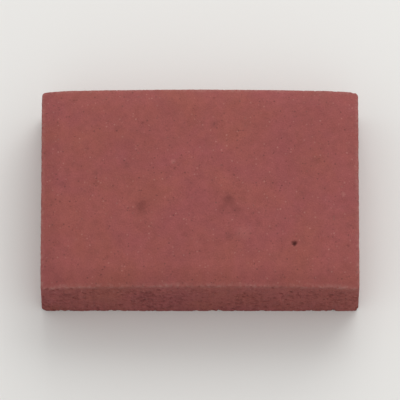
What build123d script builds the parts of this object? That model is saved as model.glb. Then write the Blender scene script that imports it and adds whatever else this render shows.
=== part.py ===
from build123d import *
import math
import os

# A pressed concrete paving stone, crowned on its upper face and flat underneath.
# X runs along its length, Y across it, and Z is up. The origin is the middle of the underside.
# All sizes are in millimetres.

# The room that one stone is made for, and how much smaller than that it is
laid_length = 240.0
laid_width = 160.0
joint_width = 2.0

# From the bed to the top of the upper face, in its middle
thickness = 60.0

# The whole upper face is a shallow dome, part of a ball of this radius
dome_radius = 1700.0

# On top of that it rolls down to all four sides, by an arc and then a straight slope that goes on from it
edge_band = 16.0
band_radius = 32.0
band_slope = 18.0

# Seen from above, the middle that the band runs round has rounded corners
middle_corner = 6.0

# Corners and edges, as the mould and the press plate leave them
corner_radius = 3.5
arris_radius = 1.2
foot_chamfer = 0.8

length = laid_length - joint_width
width = laid_width - joint_width

# The crowned surface runs past the sides, which cut it off
run_past = 4.0

# The surface is worked out on a grid, close in the rolled band and wide in the middle
band_step = 2.0
middle_step = 12.0


def band_fall(into_band):
    """How far the upper face has fallen at a distance into the rolled band."""
    slope = math.radians(band_slope)
    arc_width = band_radius * math.sin(slope)
    on_arc = min(into_band, arc_width)
    arc_fall = band_radius - math.sqrt(band_radius**2 - on_arc**2)
    return arc_fall + (into_band - on_arc) * math.tan(slope)


def crown_height(x, y):
    """The height of the upper face above the bed."""
    dome_fall = dome_radius - math.sqrt(dome_radius**2 - x**2 - y**2)
    past_x = max(0.0, abs(x) - (length / 2 - edge_band - middle_corner))
    past_y = max(0.0, abs(y) - (width / 2 - edge_band - middle_corner))
    into_band = max(0.0, math.hypot(past_x, past_y) - middle_corner)
    return thickness - dome_fall - band_fall(into_band)


def stations(span):
    """The grid's places across one span, the same to both sides of its middle."""
    middle_half = span / 2 - edge_band - middle_corner
    band_width = edge_band + middle_corner + run_past
    middle_count = math.ceil(middle_half / middle_step)
    band_count = math.ceil(band_width / band_step)
    middle = [middle_half * i / middle_count for i in range(1, middle_count)]
    band = [middle_half + band_width * i / band_count for i in range(band_count + 1)]
    side = middle + band
    return [-place for place in reversed(side)] + [0.0] + side


def crowned_block():
    """All that lies under the crowned surface, to well below the bed."""
    grid = [[Vector(x, y, crown_height(x, y)) for y in stations(width)] for x in stations(length)]
    crown = Face.make_surface_from_array_of_points(grid)
    return extrude(crown, amount=2 * thickness, dir=(0, 0, -1))


def mould_body():
    """The upright walls of the mould, from the bed to above the crown."""
    outline = RectangleRounded(length, width, corner_radius)
    return extrude(outline, amount=2 * thickness)


def paving_stone():
    stone = mould_body() & crowned_block()

    upright_faces = stone.faces().filter_by(lambda face: abs(face.normal_at().Z) < 0.01)
    level_edges = upright_faces.edges().filter_by(Axis.Z, reverse=True)
    upper_edges = level_edges.filter_by(lambda edge: edge.center().Z > thickness / 2)
    stone = fillet(upper_edges, arris_radius)

    foot_edges = stone.edges().group_by(Axis.Z)[0]
    return chamfer(foot_edges, foot_chamfer)


if __name__ == "__main__":
    os.makedirs("parts", exist_ok=True)
    stone = paving_stone()
    size = stone.bounding_box().size
    print(f"paving_stone {size.X:.1f} x {size.Y:.1f} x {size.Z:.1f} mm, {stone.volume / 1e6:.3f} litres")
    export_step(stone, "parts/paving_stone.step")
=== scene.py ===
import bpy
import math
import random
import numpy as np
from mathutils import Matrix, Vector, kdtree, noise


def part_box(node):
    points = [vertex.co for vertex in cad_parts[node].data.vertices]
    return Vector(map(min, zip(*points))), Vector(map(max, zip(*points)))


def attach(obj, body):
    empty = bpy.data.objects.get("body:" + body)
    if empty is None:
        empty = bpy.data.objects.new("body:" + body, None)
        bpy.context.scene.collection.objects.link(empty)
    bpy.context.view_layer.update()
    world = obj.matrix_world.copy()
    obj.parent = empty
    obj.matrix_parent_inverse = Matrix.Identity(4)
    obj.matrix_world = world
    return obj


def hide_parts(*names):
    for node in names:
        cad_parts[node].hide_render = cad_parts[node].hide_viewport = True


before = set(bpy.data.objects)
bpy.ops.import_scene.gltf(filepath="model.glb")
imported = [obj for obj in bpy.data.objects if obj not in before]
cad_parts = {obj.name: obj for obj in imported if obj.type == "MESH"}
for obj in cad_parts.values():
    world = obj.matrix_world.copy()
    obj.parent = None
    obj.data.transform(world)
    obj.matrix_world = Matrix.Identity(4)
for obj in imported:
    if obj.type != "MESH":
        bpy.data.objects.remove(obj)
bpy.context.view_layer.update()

mm = 0.001


# sRGB hex, such as "#935450", to the linear colour that Blender's sockets take
def linearColour(hexColour):
    values = [int(hexColour[i:i + 2], 16) / 255 for i in (1, 3, 5)]
    linear = [v / 12.92 if v <= 0.04045 else ((v + 0.055) / 1.055) ** 2.4 for v in values]
    return (*linear, 1.0)


# Adds one node; inputs are numbers, colours or other nodes' output sockets
def addNode(tree, kind, settings, inputs):
    node = tree.nodes.new(kind)
    for name, value in settings.items():
        setattr(node, name, value)
    for name, value in inputs.items():
        if isinstance(value, bpy.types.NodeSocket):
            tree.links.new(value, node.inputs[name])
        else:
            node.inputs[name].default_value = value
    return node


# The paving stone's form, as the mould and the press plate give it. Millimetres and degrees.

paver = {
    "domeRadius": 1700.0,    # the whole face is a shallow dome
    "edgeBand": 16.0,        # and it rolls down over this width to every side
    "bandRadius": 32.0,
    "bandSlope": 18.0,
    "middleCorner": 6.0,     # corner radius of what the band runs round, seen from above
    "cornerRadius": 3.5,
    "arrisRadius": 1.2,
    "footChamfer": 0.8,
    "rimLines": [0, 0.15, 0.45, 0.9],   # mesh lines close to the side, for the arris
    "meshStep": 0.96,
    "sideRows": 48,
}


# How far the upper face has fallen from its middle, and its slopes in X and Y
def crownFall(x, y, halfLength, halfWidth):
    domeHeight = np.sqrt(paver["domeRadius"] ** 2 - x ** 2 - y ** 2)
    rise = math.tan(math.radians(paver["bandSlope"]))
    arcWidth = paver["bandRadius"] * math.sin(math.radians(paver["bandSlope"]))
    middleX = halfLength - paver["edgeBand"] - paver["middleCorner"]
    middleY = halfWidth - paver["edgeBand"] - paver["middleCorner"]
    pastX = np.maximum(0, np.abs(x) - middleX)
    pastY = np.maximum(0, np.abs(y) - middleY)
    past = np.hypot(pastX, pastY)
    into = np.maximum(0, past - paver["middleCorner"])
    onArc = np.minimum(into, arcWidth)
    root = np.sqrt(paver["bandRadius"] ** 2 - onArc ** 2)
    bandFall = paver["bandRadius"] - root + (into - onArc) * rise
    slope = np.where(into < arcWidth, onArc / root, rise) / np.maximum(past, 1e-9)
    steepX = slope * pastX + np.abs(x) / domeHeight
    steepY = slope * pastY + np.abs(y) / domeHeight
    return paver["domeRadius"] - domeHeight + bandFall, steepX, steepY


# Mesh lines from a side to the middle, as distances from that side
def linesAcross(half):
    lines = list(paver["rimLines"])
    while lines[-1] < paver["cornerRadius"]:
        lines.append(lines[-1] + paver["meshStep"])
    rest = half - lines[-1]
    count = round(rest / paver["meshStep"])
    return np.array(lines + [lines[-1] + rest * (i + 1) / count for i in range(count)])


# Places for a grid that bends round the outline's corners: plan position, outward direction
# and distance from the outline
def bendGrid(i, j, half, cornerRadius, lines):
    (halfLength, halfWidth), (linesX, linesY) = half, lines
    lastX, lastY = 2 * len(linesX) - 2, 2 * len(linesY) - 2
    fromEndX = np.minimum(i, lastX - i)
    fromEndY = np.minimum(j, lastY - j)
    insetX, insetY = linesX[fromEndX], linesY[fromEndY]
    ringInset = np.minimum(insetX, insetY)
    ringRadius = np.maximum(cornerRadius - ringInset, 0)
    alongSide = np.maximum(insetX, insetY) - ringInset
    onArc = (alongSide < ringRadius) & (ringRadius > 0)
    turn = np.where(onArc, math.pi / 4 * (1 - alongSide / np.maximum(ringRadius, 1e-9)), 0)
    nearLongSide = insetY <= insetX
    outX = np.where(nearLongSide, np.sin(turn), np.cos(turn))
    outY = np.where(nearLongSide, np.cos(turn), np.sin(turn))
    x = np.where(onArc, halfLength - cornerRadius + ringRadius * outX, halfLength - insetX)
    y = np.where(onArc, halfWidth - cornerRadius + ringRadius * outY, halfWidth - insetY)
    signX = np.where(2 * i < lastX, -1.0, 1.0)
    signY = np.where(2 * j < lastY, -1.0, 1.0)
    return x * signX, y * signY, outX * signX, outY * signY, ringInset


# Height of the upper face with the quarter round at its rim, which touches the sloped face and the
# upright side, and the height at which that round ends on the side
def faceHeight(x, y, outX, outY, inset, half, thickness):
    arris = paver["arrisRadius"]
    fall, _, _ = crownFall(x, y, *half)
    rimFall, steepX, steepY = crownFall(x + outX * inset, y + outY * inset, *half)
    rise = steepX * np.abs(outX) + steepY * np.abs(outY)
    slant = np.sqrt(1 + rise ** 2)
    centreZ = thickness - rimFall + arris * (rise - slant)
    roundZ = centreZ + np.sqrt(np.maximum(arris ** 2 - np.maximum(arris - inset, 0) ** 2, 0))
    return np.where(inset < arris * (1 - rise / slant), roundZ, thickness - fall), centreZ


# The smooth stone as vertices and faces, in millimetres
def smoothStone(length, width, thickness):
    half = (length / 2, width / 2)
    lines = (linesAcross(half[0]), linesAcross(half[1]))
    lastX, lastY = 2 * len(lines[0]) - 2, 2 * len(lines[1]) - 2
    foot = paver["footChamfer"]

    # upper face
    j, i = [a.ravel() for a in np.mgrid[0:lastY + 1, 0:lastX + 1]]
    x, y, outX, outY, inset = bendGrid(i, j, half, paver["cornerRadius"], lines)
    z, _ = faceHeight(x, y, outX, outY, inset, half, thickness)
    parts = [np.stack([x, y, z], 1)]
    across = lastX + 1
    corner = (np.arange(lastY)[:, None] * across + np.arange(lastX)).ravel()
    faces = np.stack([corner, corner + 1, corner + across + 1, corner + across], 1).tolist()

    # upright sides, row by row down from the rim
    rim = ([(k, 0) for k in range(lastX)] + [(lastX, k) for k in range(lastY)]
           + [(k, lastY) for k in range(lastX, 0, -1)] + [(0, k) for k in range(lastY, 0, -1)])
    rimI, rimJ = np.array(rim).T
    rimX, rimY, outX, outY, inset = bendGrid(rimI, rimJ, half, paver["cornerRadius"], lines)
    _, topZ = faceHeight(rimX, rimY, outX, outY, inset, half, thickness)
    above = rimJ * across + rimI
    count = len(parts[0])

    def addRing(above, ring):
        nonlocal count
        below = np.arange(count, count + len(rim))
        count += len(rim)
        parts.append(ring)
        faces.extend(np.stack([above, below, np.roll(below, -1), np.roll(above, -1)], 1).tolist())
        return below

    for row in range(1, paver["sideRows"] + 1):
        z = topZ + (foot - topZ) * row / paver["sideRows"]
        above = addRing(above, np.stack([rimX, rimY, z], 1))

    # bed, with every second line of the grid, set in by the chamfer at the foot
    bedHalf = (half[0] - foot, half[1] - foot)
    bedLines = (lines[0] * bedHalf[0] / half[0], lines[1] * bedHalf[1] / half[1])
    bedCorner = paver["cornerRadius"] - foot
    x, y, _, _, _ = bendGrid(rimI, rimJ, bedHalf, bedCorner, bedLines)
    below = addRing(above, np.stack([x, y, np.zeros(len(rim))], 1))
    index = dict(zip(rim, below.tolist()))
    j, i = [a.ravel() for a in np.mgrid[2:lastY - 1:2, 2:lastX - 1:2]]
    x, y, _, _, _ = bendGrid(i, j, bedHalf, bedCorner, bedLines)
    parts.append(np.stack([x, y, np.zeros(len(x))], 1))
    index.update({place: count + k for k, place in enumerate(zip(i.tolist(), j.tolist()))})
    turnRound = [(0, 0), (0, 1), (0, 2), (1, 2), (2, 2), (2, 1), (2, 0), (1, 0)]
    for j in range(0, lastY, 2):
        for i in range(0, lastX, 2):
            ring = [(i + a, j + b) for a, b in turnRound]
            faces.append([index[place] for place in ring if place in index])
    return np.concatenate(parts), faces


# What the surface has beyond its form: everything here is cut into the stone, never added. Millimetres.

relief = {
    "seed": 41,

    # unevenness: size of its lumps, depth, how much it keeps to its highest spots, and a shift of
    # its noise that sets it apart from the others
    "plateWave": (55.0, 0.10, 1, 0),     # the press plate's own
    "faceLump": (6.0, 0.07, 1, 7),
    "faceGrain": (2.2, 0.08, 2, 3),      # sand that the press leaves just under the face
    "sideWave": (38.0, 0.22, 1, 11),
    "sideLump": (5.0, 0.16, 2, 5),
    "sideGrain": (2.4, 0.22, 2, 9),
    "dragLine": (3.2, 0.30, 2, 13),      # upright scores from the mould, as the fresh stone slides out
    "dragStretch": (1, 1, 22),           # so many times longer than wide

    # ragged voids of the sides and the bed: size, depth, how closed the skin is, how patchy, and shift
    "voids": (3.4, 0.85, 0.44, 1.0, 31),
    "finerVoids": (1.9, 0.50, 0.34, 0.8, 47),
    "finerShade": 0.6,               # a finer void gets this share of the painted shade that a larger one gets
    "voidNoise": (0.9, 2.1, 3),      # how fast its finer layers fade, how much finer each is, how many
    "voidSlope": 0.22,               # how gently a void's wall goes down, as a step of the noise
    "openPatch": (30.0, 21),         # size and shift of patches that are open more or less than the rest
    "closedSkin": 14.0,              # the sides open up over this distance down from the face

    # round hollows: how many, smallest and largest radius, and depth as a share of the radius
    "facePits": (60, 0.5, 1.2, 0.45),
    "sidePores": (420, 0.7, 1.7, 0.70),
    "bedPores": (300, 0.8, 2.0, 0.60),
    "arrisChips": (90, 0.5, 1.6, 0.30),
    "footChips": (140, 0.8, 2.4, 0.35),
    "pitMargin": 4.0,                # pits and pores keep this far from the edges
    "poreMargin": 3.0,
    "footChipReach": 1.5,
    "smallerMore": 2.2,              # the higher, the more of them are small
    "depthSpread": (0.6, 0.8),       # least share of the depth, and what chance adds to it
    "hollowFlare": 0.8,              # a hollow's floor is round at 0.5, and comes to a point above 1
    "pitFlare": 0.7,
    "dentFlare": 1.5,
    "rimRagged": 0.6,                # how far a hollow's rim strays from round, and in how short waves
    "rimWaves": 1.7,
    "rimReach": 1.35,                # no rim is further out than this many radii
    "footSlant": (0.5, 4.0),         # how aslant the bed is cut at its edge, and how far inside that ends

    # what the material shows: from where to where the surface turns from side to face, as the upward
    # share of its direction, how much painted shade a void or a pore gets, and how deep a pore is when its
    # painted shade is full
    "faceTurn": (0.3, 0.9),
    "openShade": 0.35,
    "fullPore": 0.8,
    "wornReach": 3.5,                # the arris is worn this far from the edge
    "rimShadeReach": 0.6,              # share of the rolled band over which the face is painted darker towards the rim, as painted shade
    "rimShadedBrightness": 0.965,             # brightness that the painted shade leaves at the rim
}

# Marks on the face that can be told apart: place, radius and depth, then how dark the mark is
faceMarks = [
    ((70.4, -45.6), 2.3, 1.50, 0.95),     # the open pit in the right half, painted almost black inside as shade
    ((-44.4, -15.6), 5.2, 0.30, 0.26),    # shallow dent left of the middle, in a fainter patch
    ((-43.2, -21.4), 4.8, 0.22, 0.17),
    ((-43.6, -17.6), 11.0, 0.12, 0.12),
    ((21.2, -11.4), 6.0, 0.38, 0.32),     # its neighbour right of the middle
    ((17.4, -17.8), 4.8, 0.16, 0.13),     # trails off to the front
    ((27.8, -20.6), 5.4, 0.16, 0.13),
    ((22.0, -14.4), 12.0, 0.14, 0.13),
    ((-102.0, 1.5), 4.2, 0.12, 0.16),
    ((-19.0, 13.4), 1.5, 0.45, 0.30),
    ((-94.3, 69.3), 1.3, 0.40, 0.28),
    ((10.4, 70.4), 1.6, 0.40, 0.28),
    ((-60.0, -46.0), 3.6, 0.14, 0.16),
    ((-69.0, -56.4), 3.0, 0.12, 0.15),
    ((-12.0, -39.4), 3.4, 0.12, 0.15),
    ((-5.0, 60.0), 3.0, 0.10, 0.14),
    ((-9.3, -9.6), 1.8, 0.20, 0.18),
    ((-106.0, -44.6), 3.4, 0.12, 0.14),
]

# Places where the skin is paler: place, radius and strength
paleMarks = [
    ((-20.0, 19.0), 2.2, 0.26),
    ((32.4, -37.6), 7.5, 0.09),
    ((107.4, -6.0), 2.2, 0.28),
]


# Soft noise from 0 to 1 at each point, with lumps of the given size; stretch is per axis
def lumps(points, size, shift, stretch=(1, 1, 1)):
    scaled = points / (size * np.array(stretch)) + shift
    return np.array([0.5 + 0.5 * noise.noise(p) for p in scaled])


# Depth of one kind of unevenness
def uneven(points, kind, stretch=(1, 1, 1)):
    size, depth, power, shift = relief[kind]
    return depth * lumps(points, size, shift, stretch) ** power


# Ragged voids where the paste didn't fill up the sand: the share of their depth, from 0 to 1
def raggedVoids(points, size, closed, shift):
    value = np.array([noise.fractal(p, *relief["voidNoise"]) for p in points / size + shift])
    return np.clip((value - closed) / relief["voidSlope"], 0, 1)


# Where each point lies: shares of face, bed and side, depth under the face, and how far it lies
# inside the sides
def findPlaces(points, normals, half, thickness):
    height = points[:, 2]
    fall, _, _ = crownFall(points[:, 0], points[:, 1], *half)
    onFace = np.interp(normals[:, 2], relief["faceTurn"], (0, 1))
    onBed = np.where(height < 0.01, 1.0, 0.0)
    onSide = 1 - np.maximum(onFace, onBed)
    inside = np.minimum(half[0] - np.abs(points[:, 0]), half[1] - np.abs(points[:, 1]))
    return onFace, onBed, onSide, thickness - fall - height, inside


# Depth of the skin's unevenness, and how far it is open
def roughenSkin(points, onFace, onSide, underFace):
    pressedSkin = sum(uneven(points, kind) for kind in ("plateWave", "faceLump", "faceGrain"))
    roughSkin = sum(uneven(points, kind) for kind in ("sideWave", "sideLump", "sideGrain"))
    scores = uneven(points, "dragLine", relief["dragStretch"])

    # it is closed close under the face and opens up further down, more in some patches than in others
    openness = np.clip(underFace / relief["closedSkin"], 0, 1) * (1 - onFace)
    patchy = lumps(points, *relief["openPatch"]) - 0.5
    voidShares = []
    for kind in ("voids", "finerVoids"):
        size, depth, closed, patchiness, shift = relief[kind]
        voidShares.append(openness * raggedVoids(points, size, closed - patchiness * patchy, shift))
        roughSkin += depth * voidShares[-1]
    openVoid = np.maximum(voidShares[0], relief["finerShade"] * voidShares[1])
    return onFace * pressedSkin + (1 - onFace) * roughSkin + onSide * scores, openVoid


# Centres, radii and depths of one kind of hollow, at points chosen from those that may have it
def scatter(rng, mayHave, points, kind):
    count, smallest, largest, depthShare = relief[kind]
    leastDepth, moreDepth = relief["depthSpread"]
    choices = np.flatnonzero(mayHave).tolist()
    hollows = []
    for _ in range(count):
        centre = points[rng.choice(choices)]
        radius = smallest + (largest - smallest) * rng.random() ** relief["smallerMore"]
        hollows.append((centre, radius, radius * depthShare * (leastDepth + moreDepth * rng.random())))
    return hollows


# Depth at each point of round hollows with ragged rims: rows of centre, radius and depth
def sinkHollows(count, tree, hollows, flare):
    depth = np.zeros(count)
    for centre, radius, deepest in hollows:
        for place, index, distance in tree.find_range(Vector(centre), radius * relief["rimReach"]):
            wave = noise.noise(place * (relief["rimWaves"] / radius) + Vector(centre))
            share = distance / (radius * (1 + relief["rimRagged"] * wave))
            if share < 1:
                depth[index] = max(depth[index], deepest * (1 - share ** 2) ** flare)
    return depth


# Depth, darkness and paleness that the marks on the face give each point
def sinkMarks(count, tree, half, thickness):
    dent, dark, pale = np.zeros((3, count))
    for (x, y), radius, deepest, shade in faceMarks:
        fall, _, _ = crownFall(np.array(x), np.array(y), *half)
        flare = relief["pitFlare"] if deepest > 1 else relief["dentFlare"]
        mark = sinkHollows(count, tree, [((x, y, thickness - fall), radius, deepest)], flare)
        dent = np.maximum(dent, mark)
        dark = 1 - (1 - dark) * (1 - shade * mark / deepest)
    for (x, y), radius, strength in paleMarks:
        fall, _, _ = crownFall(np.array(x), np.array(y), *half)
        place = (x, y, thickness - fall)
        patch = sinkHollows(count, tree, [(place, radius, strength)], relief["hollowFlare"])
        pale = np.maximum(pale, patch)
    return dent, dark, pale


# Cuts square to the surface, and at the edge of the bed aslant, so that the mesh doesn't fold there
def carve(points, normals, onBed, depth, half):
    slant, reach = relief["footSlant"]
    fromFoot = np.array(half) - paver["footChamfer"] - np.abs(points[:, :2])
    aslant = slant * np.clip(1 - fromFoot / reach, 0, 1) * np.sign(points[:, :2])
    underside = np.column_stack([aslant, np.full(len(points), -1.0)])
    underside /= np.linalg.norm(underside, axis=1)[:, None]
    outward = np.where(onBed[:, None] > 0, underside, normals)
    return points - outward * depth[:, None]


def makePavingStone():
    low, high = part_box("paving_stone")
    length, width, thickness = [(top - bottom) / mm for top, bottom in zip(high, low)]
    half = (length / 2, width / 2)
    points, faces = smoothStone(length, width, thickness)
    count = len(points)
    mesh = bpy.data.meshes.new("pavingStone")
    mesh.from_pydata((points * mm).tolist(), [], faces)
    normals = np.zeros(count * 3)
    mesh.vertices.foreach_get("normal", normals)
    normals = normals.reshape(-1, 3)
    print(f"smooth stone: {count} vertices, {sum(len(f) - 2 for f in faces)} triangles")

    onFace, onBed, onSide, underFace, inside = findPlaces(points, normals, half, thickness)
    depth, openVoid = roughenSkin(points, onFace, onSide, underFace)

    # hollows, each kind where it belongs
    tree = kdtree.KDTree(count)
    for index, place in enumerate(points):
        tree.insert(place, index)
    tree.balance()
    rng = random.Random(relief["seed"])
    pores = scatter(rng, (onFace > 0.99) & (inside > relief["pitMargin"]), points, "facePits")
    pores += scatter(rng, (onSide > 0.9) & (points[:, 2] > relief["poreMargin"]), points, "sidePores")
    pores += scatter(rng, (onBed > 0) & (inside > relief["poreMargin"]), points, "bedPores")
    chips = scatter(rng, (onFace > 0.02) & (onFace < 0.8), points, "arrisChips")
    chips += scatter(rng, (onBed > 0) & (inside < relief["footChipReach"]), points, "footChips")
    pore = sinkHollows(count, tree, pores, relief["hollowFlare"])
    chip = sinkHollows(count, tree, chips, relief["hollowFlare"])
    dent, dark, pale = sinkMarks(count, tree, half, thickness)
    depth += np.maximum(np.maximum(pore, chip), dent)
    print(f"relief: {len(pores) + len(chips)} hollows, deepest {depth.max():.2f} mm")

    carved = carve(points, normals, onBed, depth, half)
    mesh.vertices.foreach_set("co", (carved * mm).ravel())
    mesh.polygons.foreach_set("use_smooth", [True] * len(mesh.polygons))

    # what the material needs to know of each point
    wear = 1 - np.maximum(inside, underFace) / relief["wornReach"]
    # painted shade: the face is drawn a little darker over the outer part of the rolled band, down to the
    # rim
    nearRim = onFace * np.clip((1 - inside / paver["edgeBand"]) / relief["rimShadeReach"], 0, 1)
    # painted shade in voids and pores, darker the deeper the pore, together with the darkness of the face's
    # marks
    shade = relief["openShade"] * np.maximum(openVoid, np.clip(pore / relief["fullPore"], 0, 1))
    layers = {
        "pressed": onFace,
        "paintedHollowShade": np.maximum(dark, shade),
        "pale": pale,
        "wear": np.clip(wear, 0, 1),
        "paintedRimShade": 1 - (1 - relief["rimShadedBrightness"]) * nearRim,
    }
    for name, values in layers.items():
        layer = mesh.attributes.new(name, "FLOAT", "POINT")
        layer.data.foreach_set("value", values.astype(np.float32))
    mesh.update()
    stone = bpy.data.objects.new("paver_body", mesh)
    bpy.context.scene.collection.objects.link(stone)
    return stone


# Pigmented pressed concrete: cement and sand coloured through with red iron oxide, pressed under a plate.
# The eye gets a dull brick red with faint cloudy patches, sand grains a little lighter or darker than the
# paste, painted shade in the hollows, a slight painted shade towards the rim of the face, and a greyer line
# along the arris where the coloured skin is worn.

concrete = {
    "paste": "#904C4B",
    "pasteBrown": "#904E46",
    "pasteDeep": "#83413D",
    "lightGrain": "#B07A70",
    "darkGrain": "#6A3A36",
    "wornArris": "#A06C65",
    # colour of the painted shade in pores, voids and pits, also used to darken the face's marks
    "paintedHollowShade": "#451A17",

    # noise patterns: size in millimetres and detail, then two values of the noise and what they give
    "patterns": {
        # patches where pigment and water mixed unevenly
        "clouds": {"size": 44.0, "detail": 4.0, "distortion": 0.4, "noise": (0.35, 0.65), "gives": (0, 1)},
        # small spots of richer paste, a few millimetres wide
        "deeper": {"size": 4.2, "detail": 3.0, "noise": (0.5, 0.8), "gives": (0, 0.25)},
        # brightness: paste grain, drawn as coarse as one pixel shows, mottles and wide zones of the mix
        "fine": {"size": 0.9, "detail": 2.0, "noise": (0.3, 0.7), "gives": (0.89, 1.11)},
        "mottle": {"size": 7.0, "detail": 3.0, "noise": (0.3, 0.7), "gives": (0.93, 1.07)},
        "bloom": {"size": 60.0, "detail": 3.0, "noise": (0.3, 0.7), "gives": (0.96, 1.04)},
        # upright smears on the sides, from sliding out of the mould
        "smear": {"size": 2.8, "detail": 3.0, "noise": (0.3, 0.7), "gives": (0.90, 1.10)},
        # wear of the arris, in grains and in stretches
        "rubbed": {"size": 2.6, "detail": 3.0, "noise": (0.40, 0.62), "gives": (0.1, 1)},
        "rubbedStretch": {"size": 17.0, "detail": 2.0, "noise": (0.38, 0.62), "gives": (0.45, 1)},
        # relief of sand grains of 0 to 2 mm
        "crumb": {"size": 1.6, "detail": 3.0, "noise": (0.3, 0.7), "gives": (0, 1)},
        # patches where the skin is closed better or worse, so smoother or rougher
        "skin": {"size": 10.0, "detail": 3.0, "noise": (0.3, 0.7), "gives": (-0.05, 0.05)},
    },
    "patternRoughness": 0.6,
    "smearStretch": (1.0, 1.0, 0.06),

    # grains and spots, one to a cell: cell size in millimetres, where a grain's edge and core are,
    # which random number chooses it, how high that has to be, and how strongly it then shows
    "cells": {
        "lightGrain": (2.0, 0.42, 0.22, 0, 0.88, 0.45),    # sand is 0 to 2 mm; the larger grains show
        "darkGrain": (2.0, 0.42, 0.22, 1, 0.86, 0.75),
        "softSpot": (11.0, 0.38, 0.05, 0, 0.82, 0.40),
    },

    # concrete lies between 0.8 and 1; the sides first, then the pressed face
    "roughness": (0.96, 0.87),
    "ior": 1.5,
    "specular": 0.3,         # the open skin swallows most of the gloss

    # fine relief: its depth in millimetres, and how many times that the crumb of the sides, that of
    # the face and the paste grain go
    "bumpDepth": 0.25,
    "bumpStrength": 0.8,
    "crumbHeight": (2.6, 0.6),
    "fineHeight": 1.27,
}


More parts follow.
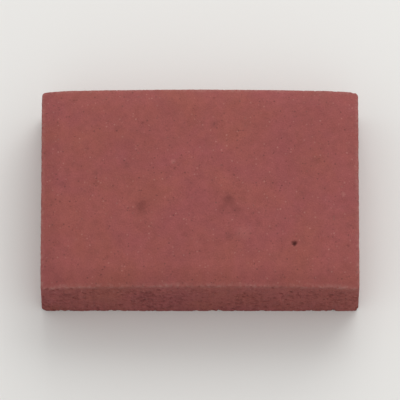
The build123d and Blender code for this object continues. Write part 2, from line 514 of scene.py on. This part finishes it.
def makePressedConcrete():
    material = bpy.data.materials.new("pigmentedPressedConcrete")
    material.use_nodes = True
    tree = material.node_tree
    tree.nodes.clear()
    place = addNode(tree, "ShaderNodeTexCoord", {}, {}).outputs["Object"]
    upright = addNode(tree, "ShaderNodeMapping", {}, {
        "Vector": place, "Scale": concrete["smearStretch"]}).outputs["Vector"]

    # what the mesh says of each place
    layers = {}
    for name in ("pressed", "paintedHollowShade", "pale", "wear", "paintedRimShade"):
        layers[name] = addNode(tree, "ShaderNodeAttribute", {"attribute_name": name}, {}).outputs["Fac"]

    # all patterns
    drawn = {}
    for name, pattern in concrete["patterns"].items():
        cloudy = addNode(tree, "ShaderNodeTexNoise", {}, {
            "Vector": upright if name == "smear" else place, "Scale": 1 / (pattern["size"] * mm),
            "Detail": pattern["detail"], "Roughness": concrete["patternRoughness"],
            "Distortion": pattern.get("distortion", 0.0)})
        drawn[name] = addNode(tree, "ShaderNodeMapRange", {}, {
            "Value": cloudy.outputs["Fac"],
            "From Min": pattern["noise"][0], "From Max": pattern["noise"][1],
            "To Min": pattern["gives"][0], "To Max": pattern["gives"][1]}).outputs["Result"]

    # grains and spots: a share that is full in the core of each chosen cell and gone at its edge
    for name, (size, edge, core, channel, rarity, strength) in concrete["cells"].items():
        cells = addNode(tree, "ShaderNodeTexVoronoi", {}, {"Vector": place, "Scale": 1 / (size * mm)})
        body = addNode(tree, "ShaderNodeMapRange", {}, {
            "Value": cells.outputs["Distance"], "From Min": edge, "From Max": core})
        own = addNode(tree, "ShaderNodeSeparateColor", {}, {0: cells.outputs["Color"]})
        chosen = addNode(tree, "ShaderNodeMapRange", {}, {
            "Value": own.outputs[channel], "From Min": rarity, "From Max": 1.0, "To Max": strength})
        drawn[name] = addNode(tree, "ShaderNodeMath", {"operation": "MULTIPLY"}, {
            0: body.outputs["Result"], 1: chosen.outputs["Result"]}).outputs[0]

    # smears show on the sides only
    smear = addNode(tree, "ShaderNodeMix", {}, {0: layers["pressed"], 2: drawn["smear"], 3: 1.0}).outputs[0]

    # the arris is worn in grains and in stretches
    worn = layers["wear"]
    for name in ("rubbed", "rubbedStretch"):
        product = addNode(tree, "ShaderNodeMath", {"operation": "MULTIPLY"}, {0: worn, 1: drawn[name]})
        worn = product.outputs[0]

    # from the plain paste up: other colours laid over it, changes of brightness with a slight painted shade
    # towards the rim, then wear and painted shade in hollows
    coats = [
        (drawn["clouds"], "pasteBrown"),
        (drawn["deeper"], "pasteDeep"),
        (drawn["lightGrain"], "lightGrain"),
        (drawn["darkGrain"], "darkGrain"),
        (drawn["softSpot"], "darkGrain"),
        (layers["pale"], "lightGrain"),
        (drawn["fine"], None),
        (drawn["mottle"], None),
        (drawn["bloom"], None),
        # painted shade along the rim of the face
        (layers["paintedRimShade"], None),
        (smear, None),
        (worn, "wornArris"),
        # painted shade in hollows, and the darker marks of the face
        (layers["paintedHollowShade"], "paintedHollowShade"),
    ]
    colour = linearColour(concrete["paste"])
    for amount, coat in coats:
        if coat is None:
            brighter = addNode(tree, "ShaderNodeVectorMath", {"operation": "SCALE"}, {
                0: colour, "Scale": amount})
            colour = brighter.outputs[0]
        else:
            blend = addNode(tree, "ShaderNodeMix", {"data_type": "RGBA"}, {
                0: amount, 6: colour, 7: linearColour(concrete[coat])})
            colour = blend.outputs[2]

    # relief too fine for the mesh: grains under the face, and the open crumb of the sides
    sideCrumb, faceCrumb = concrete["crumbHeight"]
    crumbHeight = addNode(tree, "ShaderNodeMapRange", {}, {
        "Value": layers["pressed"], "To Min": sideCrumb, "To Max": faceCrumb}).outputs["Result"]
    fineHeight = addNode(tree, "ShaderNodeMath", {"operation": "MULTIPLY"}, {
        0: drawn["fine"], 1: concrete["fineHeight"]}).outputs[0]
    skin = addNode(tree, "ShaderNodeMath", {"operation": "MULTIPLY_ADD"}, {
        0: drawn["crumb"], 1: crumbHeight, 2: fineHeight}).outputs[0]
    bump = addNode(tree, "ShaderNodeBump", {}, {
        "Strength": concrete["bumpStrength"], "Distance": concrete["bumpDepth"] * mm, "Height": skin})

    # the pressed face is closed and smoother than the open sides, more in some patches than in others
    sideRoughness, faceRoughness = concrete["roughness"]
    evenRoughness = addNode(tree, "ShaderNodeMapRange", {}, {
        "Value": layers["pressed"], "To Min": sideRoughness, "To Max": faceRoughness}).outputs["Result"]
    roughness = addNode(tree, "ShaderNodeMath", {"operation": "ADD"}, {
        0: evenRoughness, 1: drawn["skin"]}).outputs[0]

    shader = addNode(tree, "ShaderNodeBsdfPrincipled", {}, {
        "Base Color": colour, "Roughness": roughness, "Normal": bump.outputs["Normal"],
        "IOR": concrete["ior"], "Specular IOR Level": concrete["specular"]})
    addNode(tree, "ShaderNodeOutputMaterial", {}, {"Surface": shader.outputs[0]})
    return material


# A plain studio: pale floor, one large soft light from the back right, even light from all round

studio = {
    "floorColour": "#E4E3E0",
    "floorHalf": 8.0,
    "floorDrop": 0.05,       # millimetres that the floor lies below the bed
    "floorRoughness": 0.95,
    "floorSpecular": 0.1,
    "skyStrength": 0.78,
    "lampSize": 2.4,
    "lampDistance": 2.6,
    "lampTurn": 18.0,        # degrees from straight behind the stone towards the right
    "lampHeight": 38.0,      # degrees above the floor
    "lampPower": 36.0,
}


def makeStudio():
    reach = studio["floorHalf"]
    mesh = bpy.data.meshes.new("studioFloor")
    corners = [(-reach, -reach, 0), (reach, -reach, 0), (reach, reach, 0), (-reach, reach, 0)]
    mesh.from_pydata(corners, [], [(0, 1, 2, 3)])
    floor = bpy.data.objects.new("studioFloor", mesh)
    floor.location.z = -studio["floorDrop"] * mm
    bpy.context.scene.collection.objects.link(floor)
    paint = bpy.data.materials.new("mattPaleFloor")
    paint.use_nodes = True
    shader = paint.node_tree.nodes["Principled BSDF"]
    shader.inputs["Base Color"].default_value = linearColour(studio["floorColour"])
    shader.inputs["Roughness"].default_value = studio["floorRoughness"]
    shader.inputs["Specular IOR Level"].default_value = studio["floorSpecular"]
    mesh.materials.append(paint)

    # even light; the camera, and anything glossy or clear, sees the floor's own colour instead
    world = bpy.data.worlds.new("studioSurround")
    bpy.context.scene.world = world
    world.use_nodes = True
    tree = world.node_tree
    tree.nodes.clear()
    rays = addNode(tree, "ShaderNodeLightPath", {}, {})
    seen = rays.outputs["Is Camera Ray"]
    for name in ("Is Glossy Ray", "Is Transmission Ray"):
        either = addNode(tree, "ShaderNodeMath", {"operation": "MAXIMUM"}, {0: seen, 1: rays.outputs[name]})
        seen = either.outputs[0]
    even = addNode(tree, "ShaderNodeBackground", {}, {
        "Color": (1, 1, 1, 1), "Strength": studio["skyStrength"]})
    shown = addNode(tree, "ShaderNodeBackground", {}, {
        "Color": linearColour(studio["floorColour"]), "Strength": 1.0})
    both = addNode(tree, "ShaderNodeMixShader", {}, {0: seen, 1: even.outputs[0], 2: shown.outputs[0]})
    addNode(tree, "ShaderNodeOutputWorld", {}, {"Surface": both.outputs[0]})

    lamp = bpy.data.lights.new("softLamp", "AREA")
    lamp.shape = "SQUARE"
    lamp.size = studio["lampSize"]
    lamp.energy = studio["lampPower"]
    turn, up = math.radians(studio["lampTurn"]), math.radians(studio["lampHeight"])
    towards = Vector((math.sin(turn) * math.cos(up), math.cos(turn) * math.cos(up), math.sin(up)))
    holder = bpy.data.objects.new("softLamp", lamp)
    holder.location = towards * studio["lampDistance"]
    holder.rotation_euler = towards.to_track_quat("Z", "Y").to_euler()
    bpy.context.scene.collection.objects.link(holder)


# The photo looks down at the stone from its front, about 69 degrees above level, from far enough
# that its sides stay parallel

view = {
    "elevation": 69.4,
    "distance": 6.0,
    "target": (0.0, 0.0, 0.028),    # in the stone's middle, about halfway up
    "frameWidth": 0.300,            # metres that the picture is wide at the stone
    "sensorWidth": 36.0,
}


def makeCamera():
    camera = bpy.data.cameras.new("photoView")
    camera.sensor_width = view["sensorWidth"]
    camera.lens = view["sensorWidth"] * view["distance"] / view["frameWidth"]
    camera.clip_start = 0.05
    camera.clip_end = 60.0
    up = math.radians(view["elevation"])
    back = Vector((0, -math.cos(up), math.sin(up)))
    holder = bpy.data.objects.new("photoView", camera)
    holder.location = Vector(view["target"]) + back * view["distance"]
    holder.rotation_euler = back.to_track_quat("Z", "Y").to_euler()
    bpy.context.scene.collection.objects.link(holder)
    bpy.context.scene.camera = holder


makeCamera()
makeStudio()
print("camera and studio are in place")

stone = makePavingStone()
stone.data.materials.append(makePressedConcrete())
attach(stone, "root")
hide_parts("paving_stone")
print("paving stone is dressed")

bpy.context.scene.view_settings.view_transform = "Standard"
